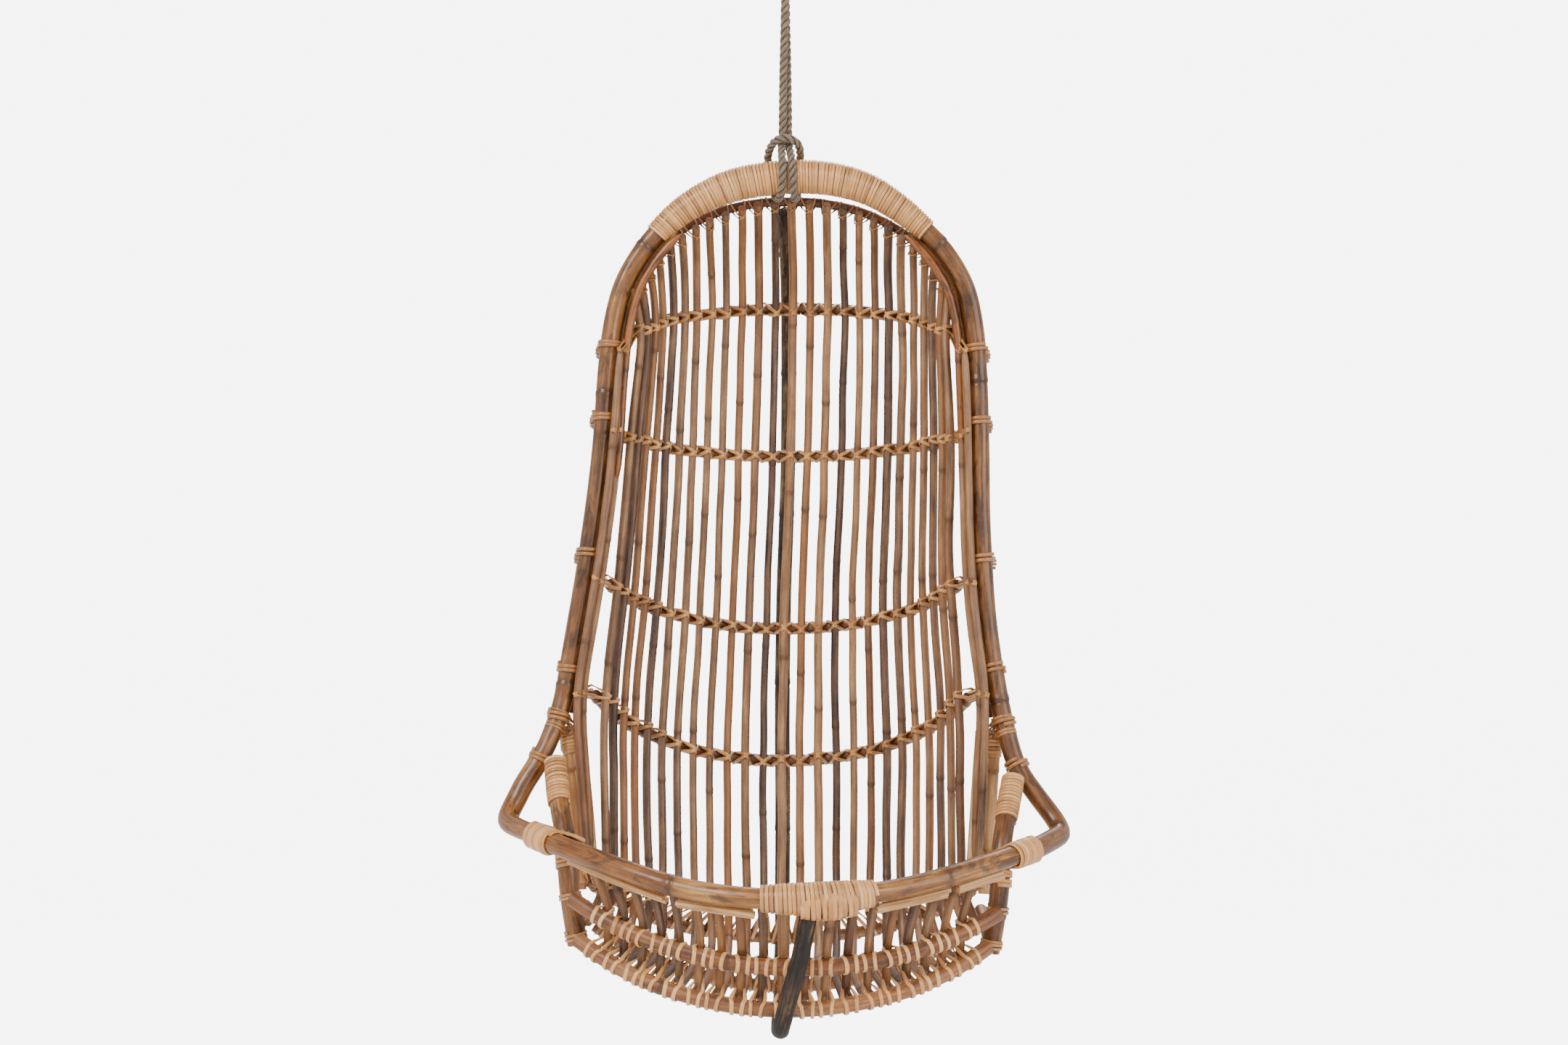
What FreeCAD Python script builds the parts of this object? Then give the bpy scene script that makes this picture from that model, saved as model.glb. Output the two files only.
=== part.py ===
import FreeCAD, Part
import math
import os
import Sketcher
from FreeCAD import Placement, Rotation, Vector

# Hanging rattan chair on a doubled rope.  Origin: middle of the ceiling face, +Z up, the sitter faces -Y.
# Chair points are given from the middle of the hoop's top bar, and every chair piece is placed bar_drop lower.

DIMENSIONS = {
    "bar_drop": 345,
    "hang_lean": 2.8,
    "hang_shift": -4,
    "hoop_dia": 25,
    "rail_dia": 26,
    "slat_dia": 11,
    "cross_dia": 16,
    "tier_dia": 20,
    "post_dia": 26,
    "brace_dia": 20,
    "spine_dia": 21,
    "liner_dia": 13,
    "straw_dia": 11,
    "rope_dia": 10,
    "wrap_dia": 44,
    "front_wrap_dia": 38,
    "peel": 3,
    "band_width": 11,
    "fit_gap": 0.4,
    "plate_dia": 80,
    "plate_thick": 5,
    "screw_hole": 5.5,
    "screw_circle": 58,
    "screw_count": 4,
    "link_wire": 8,
    "eye_radius": 18,
    "ring_radius": 20,
    "ring_rise": 262,
    "shank_dia": 12,
}

doc = FreeCAD.newDocument("HangingChair")
sheet = doc.addObject("Spreadsheet::Sheet", "Dimensions")
for row, (alias, value) in enumerate(DIMENSIONS.items(), start=1):
    sheet.set("A%d" % row, alias)
    sheet.set("B%d" % row, str(value))
    sheet.setAlias("B%d" % row, alias)
doc.recompute()

bar_drop = sheet.get("bar_drop")
slat_step = (sheet.get("slat_dia") + sheet.get("cross_dia")) / 2 + 1.2
tier_step = (sheet.get("slat_dia") + sheet.get("tier_dia")) / 2 + 1.2
parts = []


# ---------------------------------------------------------------- helpers

def vectors(points):
    return [Vector(*point) for point in points]


def bend_radius(before, corner, after, share=0.45):
    """Radius of the arc at a corner: share of the shorter run, over the tangent of half the turn."""
    turn = (corner - before).getAngle(after - corner)
    if turn < 0.002:
        return 0.0
    shorter = min((corner - before).Length, (after - corner).Length)
    return share * shorter / math.tan(turn / 2)


def cane_path(points, share=0.45):
    """Straight runs joined by tangent arcs, through a list of corner points."""
    points = vectors(points)
    edges = []
    start = points[0]
    for before, corner, after in zip(points, points[1:], points[2:]):
        radius = bend_radius(before, corner, after, share)
        if radius == 0.0:
            continue
        turn = (corner - before).getAngle(after - corner)
        inward = (before - corner).normalize()
        outward = (after - corner).normalize()
        trim = radius * math.tan(turn / 2)
        first = corner + inward * trim
        last = corner + outward * trim
        middle = corner + (inward + outward).normalize() * (radius / math.cos(turn / 2) - radius)
        if (first - start).Length > 0.01:
            edges.append(Part.LineSegment(start, first).toShape())
        edges.append(Part.Arc(first, middle, last).toShape())
        start = last
    edges.append(Part.LineSegment(start, points[-1]).toShape())
    return Part.Wire(edges)


def add_path(name, wire):
    path = doc.addObject("Part::Feature", name + "_path")
    path.Shape = wire
    return path


def add_section(name, wire, radius_formula):
    """A circle square to the start of the wire, with its radius bound to the sheet."""
    circle = doc.addObject("Part::Circle", name + "_section")
    circle.setExpression("Radius", radius_formula)
    first = wire.OrderedEdges[0]
    start = first.valueAt(first.FirstParameter)
    tangent = first.tangentAt(first.FirstParameter)
    circle.Placement = Placement(start, Rotation(Vector(0, 0, 1), tangent))
    return circle


def add_sweep(name, path, section):
    sweep = doc.addObject("Part::Sweep", name)
    sweep.Sections = [section]
    sweep.Spine = (path, ["Edge%d" % (i + 1) for i in range(len(path.Shape.Edges))])
    sweep.Solid = True
    sweep.Frenet = False
    sweep.Transition = "Right corner"
    return sweep


def add_tube(name, wire, radius_formula):
    path = add_path(name, wire)
    return add_sweep(name, path, add_section(name, wire, radius_formula))


def add_sleeve(name, wire, outer_formula, inner_formula):
    """A tube with a bore, both swept along one wire."""
    path = add_path(name, wire)
    outer = add_sweep(name + "_outer", path, add_section(name + "_outer", wire, outer_formula))
    inner = add_sweep(name + "_bore", path, add_section(name + "_bore", wire, inner_formula))
    sleeve = doc.addObject("Part::Cut", name)
    sleeve.Base = outer
    sleeve.Tool = inner
    return sleeve


def add_group(name, members):
    group = doc.addObject("Part::Compound", name)
    group.Links = members
    return group


def finish(piece, label):
    """Names a finished sub-part and puts it on the list."""
    piece.Label = label
    parts.append(piece)


def finish_chair(piece, label):
    """Hangs a piece of the chair at the bar's level, leant so that the chair's weight is under the bar."""
    piece.Placement = Placement(Vector(0, 0, 0), Rotation(Vector(1, 0, 0), 1))
    piece.setExpression("Placement.Rotation.Angle", "Dimensions.hang_lean")
    piece.setExpression("Placement.Base.x", "Dimensions.hang_shift")
    piece.setExpression("Placement.Base.z", "-Dimensions.bar_drop")
    finish(piece, label)


def cane(label, wire, radius_formula):
    finish_chair(add_tube(label, wire, radius_formula), label)


# ---------------------------------------------------------------- the scoop that the slats lie in

class Rib:
    """A circular arc across the chair, from its left end round to its right end.

    bulge is how far (back, up) its middle stands from its ends.  The slats lie inward of it, and
    reach is how many slat spacings there are from its middle to its end.  crowd is the share by which
    the slats are further apart in its middle than evenly spaced ones; they are closer towards its ends.
    """

    def __init__(self, left, right, bulge, reach, inward, crowd=0.0):
        self.left = Vector(*left)
        self.right = Vector(*right)
        half = (self.right - self.left) / 2
        self.across = Vector(half).normalize()
        sag = Vector(0, *bulge)
        sag = sag - self.across * sag.dot(self.across)
        self.out = Vector(sag).normalize()
        self.radius = (half.Length ** 2 + sag.Length ** 2) / (2 * sag.Length)
        self.centre = self.left + half + sag - self.out * self.radius
        self.middle = self.left + half + sag
        self.angle = math.asin(min(1.0, half.Length / self.radius))
        self.reach = reach
        self.inward = inward
        self.crowd = crowd

    def wire(self, trim=0.0):
        """The arc, cut short by the trim at each end."""
        angle = self.angle - trim / self.radius
        ends = [self.centre + (self.across * math.sin(turn) + self.out * math.cos(turn)) * self.radius
                for turn in (-angle, angle)]
        return Part.Wire([Part.Arc(ends[0], self.middle, ends[1]).toShape()])

    def slat_point(self, number):
        """Where slat number (0 in the middle, negative to the left) lies on this rib."""
        share = number / self.reach
        angle = self.angle * share * (1 + self.crowd * (1 - share ** 2))
        ray = self.across * math.sin(angle) + self.out * math.cos(angle)
        return self.centre + ray * (self.radius - self.inward)


SLATS_EACH_SIDE = 12
FRONT_SLATS_EACH_SIDE = 9
CROWN_SLATS_EACH_SIDE = 10
RAIL_TRIM = 15
FLOOR_RAIL_TRIM = 10
SLAT_OVERHANG = Vector(0, -14, -1)
RING_HUG = Vector(0, 7, -14)
SILL_REST = Vector(0, 0, -17)

top_rib = Rib((-207, 4, -158), (232, 4, -158), (26, 131), 12.6, 0, 0.1)
back_ribs = [
    Rib((-207, 14, -208), (238, 14, -208), (140, 46), 12.4, slat_step, 0.15),
    Rib((-222, 9, -348), (244, 9, -348), (148, -25), 12.4, slat_step, 0.12),
    Rib((-240, -4, -545), (243, -4, -546), (164, -73), 12.4, slat_step),
    Rib((-258, -18, -691), (256, -18, -695), (158, -112), 12.4, slat_step),
]
low_rib = Rib((-252, -62, -945), (254, -62, -950), (147, -98), 12.4, slat_step)
side_rib = Rib((-252, -120, -985), (252, -120, -992), (0, -81.5), 11.5, slat_step)
floor_rib = Rib((-258, -145, -992), (258, -145, -998), (0, -80), 11.4, tier_step)
bottom_rib = Rib((-256, -228, -988), (257, -228, -998), (-76, -66), 10.2, tier_step)
middle_rib = Rib((-262, -236, -936), (270, -236, -953), (-76, -62), 10.9, tier_step)
front_rib = Rib((-260, -217, -882), (268, -217, -892), (-101, -28), 10.2, 0)


def slat_points(number):
    """Corner points of one slat, from its tie at the top down the back, and up to the front rail."""
    top = top_rib.slat_point(number)
    points = [top]
    if abs(number) <= CROWN_SLATS_EACH_SIDE:
        crown = top * 0.45 + back_ribs[0].slat_point(number) * 0.55
        points.append(crown + Vector(0, 14, 12))
    points += [rib.slat_point(number) for rib in back_ribs]
    points.append(low_rib.slat_point(number))
    if abs(number) > FRONT_SLATS_EACH_SIDE:
        side_end = side_rib.slat_point(number) + SLAT_OVERHANG
        points.append(side_end + SILL_REST if abs(number) == SLATS_EACH_SIDE else side_end)
        return points
    points.append(floor_rib.slat_point(number))
    points.append(bottom_rib.slat_point(number) + RING_HUG)
    points.append(middle_rib.slat_point(number))
    points.append(front_rib.slat_point(number))
    return points


def make_slats():
    for count in range(2 * SLATS_EACH_SIDE + 1):
        number = count - SLATS_EACH_SIDE
        cane("slat_%02d" % (count + 1), cane_path(slat_points(number)), "Dimensions.slat_dia / 2")


def make_cross_rails():
    for count, rib in enumerate(back_ribs + [low_rib], start=1):
        trim = 0 if rib is low_rib else RAIL_TRIM
        cane("cross_rail_%d" % count, rib.wire(trim), "Dimensions.cross_dia / 2")
    cane("floor_rail", side_rib.wire(FLOOR_RAIL_TRIM), "Dimensions.cross_dia / 2")
    cane("bottom_ring", bottom_rib.wire(), "Dimensions.tier_dia / 2")
    cane("middle_ring", middle_rib.wire(), "Dimensions.tier_dia / 2")


# ---------------------------------------------------------------- hoop, arms and seat frame

HOOP = [
    (-352, -113, -840), (-341, -101, -813), (-314, -82, -771), (-293, -62, -715), (-281, -48, -640),
    (-267, -36, -550), (-254, -27, -460), (-244, -17, -370), (-239, -10, -280), (-232, -5, -205),
    (-217, -2, -141), (-182, -1, -86), (-136, 0, -42), (-72, 0, -9), (0, 0, 2), (62, 0, 1),
    (118, 0, -14), (172, 0, -50), (218, -1, -94), (249, -2, -147), (262, -5, -215), (264, -11, -290),
    (266, -18, -370), (266, -27, -470), (271, -37, -575), (281, -50, -660), (291, -64, -725),
    (308, -83, -790), (337, -101, -830), (357, -113, -856),
]
FRONT_RAIL = [
    (-361, -120, -850), (-350, -143, -856), (-317, -188, -862), (-272, -238, -872), (-205, -286, -888),
    (-130, -322, -908), (-45, -345, -917), (45, -346, -918), (132, -324, -912), (205, -286, -900),
    (274, -238, -887), (322, -188, -880), (354, -143, -873), (367, -119, -868),
]
INNER_HOOP = [
    (-281, -40, -722), (-264, -27, -628), (-251, -15, -545), (-236, -6, -440), (-225, 2, -348), (-217, 11, -255),
    (-210, 18, -180), (-193, 27, -127), (-155, 38, -74), (-95, 47, -40), (-30, 51, -25), (46, 51, -25),
    (112, 47, -39), (172, 38, -72), (218, 28, -121), (237, 18, -180), (243, 11, -255), (247, 2, -348),
    (249, -6, -440), (255, -15, -545), (262, -26, -628), (277, -40, -728),
]
SPINE = [
    (4, 70, -36), (6, 129, -82), (8, 176, -144), (9, 182, -260), (8, 181, -373), (4, 182, -500),
    (0, 184, -630), (0, 167, -806), (0, 145, -930), (0, 113, -1030), (-1, 62, -1078), (-1, -30, -1092),
    (-2, -150, -1095), (-4, -276, -1091), (-2, -337, -1075), (8, -346, -1035), (21, -345, -992), (31, -341, -940),
]
SEAT_POSTS = {
    "left": [(-297, -104, -778), (-288, -144, -830), (-276, -178, -868), (-270, -198, -930), (-259, -200, -1000)],
    "right": [(301, -110, -800), (289, -146, -842), (279, -178, -880), (275, -198, -940), (262, -200, -1010)],
}
REAR_BRACES = {
    "left": [[(-287, -47, -738), (-273, -60, -850), (-268, -84, -950)],
             [(-270, -38, -740), (-258, -46, -850), (-250, -72, -918)]],
    "right": [[(282, -45, -744), (274, -62, -850), (268, -84, -956)],
              [(264, -36, -746), (256, -48, -850), (249, -74, -924)]],
}
SIDE_SILLS = {
    "left": [(-259, -184, -1000), (-264, -120, -992), (-262, -52, -976)],
    "right": [(262, -184, -1008), (266, -120, -998), (264, -52, -982)],
}
SIDE_SLAT_LEVELS = [-230, -300, -400, -500, -600, -700]
SIDE_SLATS = [
    {"inward": 17, "forward": 14, "feet": [(262, -84, -850), (255, -100, -925)]},
    {"inward": 23.5, "forward": 1, "feet": [(256, -71, -850), (253, -86.5, -918)]},
]
STRAWS = [
    [(-268, -226, -888), (-205, -278, -906), (-140, -310, -924)],
    [(-129, -318, -927), (-80, -332, -932), (-30, -340, -937)],
    [(112, -326, -933), (160, -306, -927), (206, -282, -920)],
    [(211, -278, -919), (246, -256, -912), (276, -232, -907)],
]
BAND_LEVELS = {
    "left": [-227, -323, -508, -657, -723, -776],
    "right": [-232, -326, -513, -660, -730, -789],
}
hoop_wire = cane_path(HOOP)
front_wire = cane_path(FRONT_RAIL)
post_wires = {side: cane_path(points) for side, points in SEAT_POSTS.items()}
brace_wires = {side: cane_path(canes[0]) for side, canes in REAR_BRACES.items()}


def side_slat_points(slat, hoop_points, sign):
    """Corner points of a slat that lies just inside the hoop, on one side."""
    offset = Vector(-sign * slat["inward"], -slat["forward"], 0)
    feet = [Vector(sign * x, y, z) for x, y, z in slat["feet"]]
    return [point + offset for point in hoop_points] + feet


def make_frame_canes():
    cane("hoop_cane", hoop_wire, "Dimensions.hoop_dia / 2")
    cane("front_rail", front_wire, "Dimensions.rail_dia / 2")
    cane("inner_hoop", cane_path(INNER_HOOP), "Dimensions.liner_dia / 2")
    cane("spine_cane", cane_path(SPINE), "Dimensions.spine_dia / 2")
    for side in ("left", "right"):
        cane("%s_seat_post" % side, post_wires[side], "Dimensions.post_dia / 2")
        outer_brace = add_tube("%s_outer_brace" % side, brace_wires[side], "Dimensions.brace_dia / 2")
        inner_brace = add_tube("%s_inner_brace" % side, cane_path(REAR_BRACES[side][1]), "Dimensions.liner_dia / 2")
        finish_chair(add_group("%s_rear_braces" % side, [outer_brace, inner_brace]), "%s_rear_braces" % side)
    for side, sign in (("left", -1), ("right", 1)):
        hoop_points = [point_at(hoop_wire, place_where(hoop_wire, 2, level, sign))[0] for level in SIDE_SLAT_LEVELS]
        side_slats = []
        for count, slat in enumerate(SIDE_SLATS, start=1):
            wire = cane_path(side_slat_points(slat, hoop_points, sign))
            side_slats.append(add_tube("%s_side_slat_%d" % (side, count), wire, "Dimensions.slat_dia / 2"))
        finish_chair(add_group("%s_side_slats" % side, side_slats), "%s_side_slats" % side)
    sills = [add_tube("%s_sill" % side, cane_path(points), "Dimensions.cross_dia / 2")
             for side, points in SIDE_SILLS.items()]
    finish_chair(add_group("side_sills", sills), "side_sills")
    straws = []
    for count, points in enumerate(STRAWS, start=1):
        straws.append(add_tube("straw_%d" % count, cane_path(points), "Dimensions.straw_dia / 2"))
    finish_chair(add_group("under_rail_canes", straws), "under_rail_canes")


# ---------------------------------------------------------------- peel wraps, bands and lashings

def place_where(wire, axis, value, side):
    """Length along the wire to the point whose x, y or z is the value, on the wanted side of x = 0."""
    best_length = 0.0
    best_miss = 1e9
    steps = 1200
    for step in range(steps + 1):
        length = wire.Length * step / steps
        point = point_at(wire, length)[0]
        miss = abs(point[axis] - value)
        if point.x * side >= 0 and miss < best_miss:
            best_miss = miss
            best_length = length
    return best_length


def point_at(wire, length):
    """Point and tangent at a length along the wire."""
    for edge in wire.OrderedEdges:
        if length <= edge.Length:
            break
        length -= edge.Length
    parameter = edge.getParameterByLength(min(length, edge.Length))
    return edge.valueAt(parameter), edge.tangentAt(parameter)


def stretch(wire, start, end):
    """The part of a wire between two lengths along it."""
    edges = []
    begun = 0.0
    for edge in wire.OrderedEdges:
        low = max(start - begun, 0.0)
        high = min(end - begun, edge.Length)
        if high - low > 0.05:
            first = edge.getParameterByLength(low)
            last = edge.getParameterByLength(high)
            edges.append(edge.Curve.toShape(first, last))
        begun += edge.Length
    return Part.Wire(edges)


def add_band(name, point, tangent, bore_formula, outer_formula, widths=1.0):
    """A short ring of peel round a cane, some band widths long, with its middle at the point."""
    start = point - tangent * (widths * sheet.get("band_width") / 2)
    placement = Placement(start, Rotation(Vector(0, 0, 1), tangent))
    cylinders = []
    for suffix, formula in (("_outer", outer_formula), ("_bore", bore_formula)):
        cylinder = doc.addObject("Part::Cylinder", name + suffix)
        cylinder.setExpression("Radius", formula)
        cylinder.setExpression("Height", "Dimensions.band_width * %g" % widths)
        cylinder.Placement = placement
        cylinders.append(cylinder)
    band = doc.addObject("Part::Cut", name)
    band.Base = cylinders[0]
    band.Tool = cylinders[1]
    return band


HOOP_BORE = "Dimensions.hoop_dia / 2 + Dimensions.fit_gap"
RAIL_BORE = "Dimensions.rail_dia / 2 + Dimensions.fit_gap"
POST_BORE = "Dimensions.post_dia / 2 + Dimensions.fit_gap"
BRACE_BORE = "Dimensions.brace_dia / 2 + Dimensions.fit_gap"


def make_wraps():
    start = place_where(hoop_wire, 0, -160, -1)
    end = place_where(hoop_wire, 0, 180, 1)
    top = stretch(hoop_wire, start, end)
    finish_chair(add_sleeve("top_wrap", top, "Dimensions.wrap_dia / 2", HOOP_BORE), "top_wrap")
    start = place_where(front_wire, 0, -28, -1)
    end = place_where(front_wire, 0, 110, 1)
    front = stretch(front_wire, start, end)
    finish_chair(add_sleeve("front_wrap", front, "Dimensions.front_wrap_dia / 2", RAIL_BORE), "front_wrap")
    for side in ("left", "right"):
        for name, wire, length, bore in (("post_wrap", post_wires[side], 58, POST_BORE),
                                         ("brace_wrap", brace_wires[side], 40, BRACE_BORE)):
            label = "%s_%s" % (side, name)
            finish_chair(add_sleeve(label, stretch(wire, 6, length), bore + " + Dimensions.peel / 2", bore), label)


def make_bands():
    for side, levels in BAND_LEVELS.items():
        sign = -1 if side == "left" else 1
        bands = []
        for count, level in enumerate(levels, start=1):
            point, tangent = point_at(hoop_wire, place_where(hoop_wire, 2, level, sign))
            bands.append(add_band("%s_band_%d" % (side, count), point, tangent, HOOP_BORE,
                                  HOOP_BORE + " + Dimensions.peel"))
        finish_chair(add_group("%s_hoop_bands" % side, bands), "%s_hoop_bands" % side)


def make_corner_lashings():
    """Each binds the front rail to a seat post: one band round each cane."""
    for side, sign in (("left", -1), ("right", 1)):
        post_wire = post_wires[side]
        rail_length = place_where(front_wire, 0, sign * 308, sign)
        post_length = place_where(post_wire, 2, -905, sign)
        bands = []
        for name, wire, length, bore in (("rail", front_wire, rail_length, RAIL_BORE),
                                         ("post", post_wire, post_length, POST_BORE)):
            point, tangent = point_at(wire, length)
            bands.append(add_band("%s_%s_tie" % (side, name), point, tangent, bore,
                                  bore + " + Dimensions.peel / 2", 1.6))
        finish_chair(add_group("%s_corner_lashing" % side, bands), "%s_corner_lashing" % side)


# ---------------------------------------------------------------- rope, ring and ceiling eye

# One strand of the doubled rope comes down in front of the bar, goes round under it and up behind,
# over in an arch in front of both strands, and back the same way.  (x, y, z) from the bar's middle.
HITCH = [
    (-3.8, -3.8, 78), (-3.8, -3.8, 63), (-5, -5.8, 45), (-4.8, -18, 26), (-4, -28, 11), (-4, -28, -11),
    (-6, -12, -27.6), (-12, 11.5, -27.6), (-18, 27.6, -11), (-23, 27.6, 12), (-25, 15, 32), (-19, -6, 45),
    (-8, -19.5, 50), (7, -19.5, 50), (18.5, -8, 44), (20.5, 14, 32), (19.5, 27.6, 12), (18, 27.6, -11),
    (14.5, 11.5, -27.6), (11, -12, -27.6), (10, -28, -11), (9.5, -28, 11), (7.8, -17, 26), (4.2, -1, 45),
    (3.8, 3.8, 63), (3.8, 3.8, 78),
]
ROPE = [
    (-3.8, -3.8, 78.3), (-3.4, -4.6, 118), (-2.6, -6, 160), (-1.6, -7.6, 200), (-0.8, -8.8, 238),
    (-0.2, -9.6, 262), (0, -6.8, 271.6), (0, 6.8, 271.6), (0.2, 9.6, 262), (0.8, 8.8, 238), (1.6, 7.6, 200),
    (2.6, 6, 160), (3.4, 4.6, 118), (3.8, 3.8, 78.3),
]


def make_rope():
    for label, points in (("rope_hitch", HITCH), ("rope_line", ROPE)):
        corners = vectors(points)
        radii = [bend_radius(*trio) for trio in zip(corners, corners[1:], corners[2:])]
        wire = cane_path(points)
        print(label, "length", round(wire.Length), "radii", [round(radius) for radius in radii])
        tube = add_tube(label, wire, "Dimensions.rope_dia / 2")
        tube.setExpression("Placement.Base.z", "-Dimensions.bar_drop")
        finish(tube, label)


def add_link(name, radius_formula, tilt):
    torus = doc.addObject("Part::Torus", name)
    torus.setExpression("Radius1", radius_formula)
    torus.setExpression("Radius2", "Dimensions.link_wire / 2")
    torus.Placement = Placement(Vector(0, 0, 0), tilt)
    return torus


def make_links():
    """The ring that the rope goes over, and the eye that the ring hangs in."""
    ring = add_link("hanging_ring", "Dimensions.ring_radius", Rotation(Vector(1, 0, 0), 90))
    ring.setExpression("Placement.Base.z", "Dimensions.ring_rise + Dimensions.ring_radius - Dimensions.bar_drop")
    finish(ring, "hanging_ring")
    eye = add_link("eye_loop", "Dimensions.eye_radius", Rotation(Vector(0, 1, 0), 90))
    eye.setExpression("Placement.Base.z", "Dimensions.ring_rise + 2 * Dimensions.ring_radius"
                      " - Dimensions.link_wire - Dimensions.fit_gap + Dimensions.eye_radius - Dimensions.bar_drop")
    doc.recompute()
    shank = doc.addObject("Part::Cylinder", "eye_shank")
    shank.setExpression("Radius", "Dimensions.shank_dia / 2")
    shank.Placement.Base.z = eye.Placement.Base.z + eye.Radius1.Value
    shank.Height = -sheet.get("plate_thick") - shank.Placement.Base.z
    eye_bolt = doc.addObject("Part::Fuse", "eye_bolt")
    eye_bolt.Base = eye
    eye_bolt.Tool = shank
    finish(eye_bolt, "eye_bolt")


def origin_feature(body, role):
    """One of a body's own planes or axes."""
    return [feature for feature in body.Origin.OriginFeatures if feature.Role == role][0]


def add_disc_sketch(body, name, centre_x, radius_formula):
    sketch = body.newObject("Sketcher::SketchObject", name)
    sketch.AttachmentSupport = [(origin_feature(body, "XY_Plane"), "")]
    sketch.MapMode = "FlatFace"
    index = sketch.addGeometry(Part.Circle(Vector(centre_x, 0, 0), Vector(0, 0, 1), 1.0), False)
    radius = sketch.addConstraint(Sketcher.Constraint("Radius", index, 1.0))
    sketch.setExpression("Constraints[%d]" % radius, radius_formula)
    if centre_x:
        distance = sketch.addConstraint(Sketcher.Constraint("DistanceX", -1, 1, index, 3, centre_x))
        sketch.setExpression("Constraints[%d]" % distance, "Dimensions.screw_circle / 2")
        sketch.addConstraint(Sketcher.Constraint("PointOnObject", index, 3, -1))
    else:
        sketch.addConstraint(Sketcher.Constraint("Coincident", index, 3, -1, 1))
    return sketch


def make_plate():
    """A round plate with a circle of screw holes; its top face lies on the ceiling."""
    body = doc.addObject("PartDesign::Body", "ceiling_plate")
    disc = add_disc_sketch(body, "plate_outline", 0, "Dimensions.plate_dia / 2")
    pad = body.newObject("PartDesign::Pad", "plate_pad")
    pad.Profile = disc
    pad.setExpression("Length", "Dimensions.plate_thick")
    doc.recompute()
    solid_volume = pad.Shape.Volume
    hole = add_disc_sketch(body, "screw_hole_outline", sheet.get("screw_circle") / 2, "Dimensions.screw_hole / 2")
    pocket = body.newObject("PartDesign::Pocket", "screw_pocket")
    pocket.Profile = hole
    pocket.Type = "ThroughAll"
    pocket.Reversed = True
    pattern = body.newObject("PartDesign::PolarPattern", "screw_pattern")
    pattern.Originals = [pocket]
    pattern.Axis = (origin_feature(body, "Z_Axis"), [""])
    pattern.Angle = 360
    pattern.setExpression("Occurrences", "Dimensions.screw_count")
    body.Tip = pattern
    doc.recompute()
    hole_volume = math.pi * sheet.get("screw_hole") ** 2 / 4 * sheet.get("plate_thick")
    if body.Shape.Volume > solid_volume - 0.9 * sheet.get("screw_count") * hole_volume:
        raise SystemExit("the screw holes cut nothing")
    body.setExpression("Placement.Base.z", "-Dimensions.plate_thick")
    finish(body, "ceiling_plate")


make_slats()
make_cross_rails()
make_frame_canes()
make_wraps()
make_bands()
make_corner_lashings()
make_rope()
make_links()
make_plate()

doc.recompute()
for item in doc.Objects:
    if "Invalid" in item.State or "Error" in item.State:
        raise SystemExit("failed: %s %s" % (item.Name, item.State))
os.makedirs("parts", exist_ok=True)
for piece in parts:
    shape = piece.Shape
    if shape.isNull() or not shape.isValid():
        raise SystemExit("bad shape: " + piece.Label)
    shape.exportStep("parts/%s.step" % piece.Label)
print(len(parts), "parts")
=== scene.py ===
import math
import random

import bpy
import numpy as np
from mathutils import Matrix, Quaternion, Vector
from mathutils.bvhtree import BVHTree
from mathutils.noise import noise


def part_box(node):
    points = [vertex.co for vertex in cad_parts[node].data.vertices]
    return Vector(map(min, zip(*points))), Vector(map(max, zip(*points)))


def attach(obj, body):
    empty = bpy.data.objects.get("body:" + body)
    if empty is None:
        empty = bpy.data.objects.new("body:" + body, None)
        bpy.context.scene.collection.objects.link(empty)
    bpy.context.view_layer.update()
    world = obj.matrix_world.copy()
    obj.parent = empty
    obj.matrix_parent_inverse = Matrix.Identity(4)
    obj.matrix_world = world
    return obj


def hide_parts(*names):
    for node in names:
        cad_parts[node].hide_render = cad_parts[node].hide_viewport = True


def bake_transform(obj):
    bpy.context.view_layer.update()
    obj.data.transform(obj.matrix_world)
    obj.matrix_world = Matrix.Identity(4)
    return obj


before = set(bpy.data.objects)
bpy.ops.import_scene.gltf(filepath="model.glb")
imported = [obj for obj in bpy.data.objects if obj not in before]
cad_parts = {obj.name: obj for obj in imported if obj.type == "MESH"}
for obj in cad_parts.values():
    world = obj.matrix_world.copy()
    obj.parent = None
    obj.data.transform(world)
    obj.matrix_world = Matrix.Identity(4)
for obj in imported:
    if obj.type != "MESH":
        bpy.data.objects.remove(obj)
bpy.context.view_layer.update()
random.seed(7)

MM = 0.001
WALK_STEP = 5 * MM
CANE_STEP = 6 * MM
BAR_Z = -0.345
SLAT_COUNT = 25


# ---------------------------------------------------------------- lines down the middle of the CAD's canes

def unit(vectors):
    return vectors / np.linalg.norm(vectors, axis=-1, keepdims=True)


def section_centre(tree, place, heading):
    """Middle of a round cane's section, from a place inside it: twice as far as the mean of the chords."""
    side = heading.orthogonal().normalized()
    mean = Vector()
    chords = 6
    for chord in range(chords):
        ray = Quaternion(heading, math.pi * chord / chords) @ side
        mean += (tree.ray_cast(place, ray)[0] + tree.ray_cast(place, -ray)[0]) / (2 * chords)
    return 2 * mean - place


def walk(tree, start, heading):
    """Points down the middle of a cane from a start inside it to the flat end that the heading leads to."""
    points = [start]
    while True:
        end, normal, _, gap = tree.ray_cast(points[-1], heading)
        if gap < 1.5 * WALK_STEP and abs(normal.dot(heading)) > 0.8:
            return points + [end]
        points.append(section_centre(tree, points[-1] + heading * WALK_STEP, heading))
        heading = (points[-1] - points[-2]).normalized()


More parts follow.
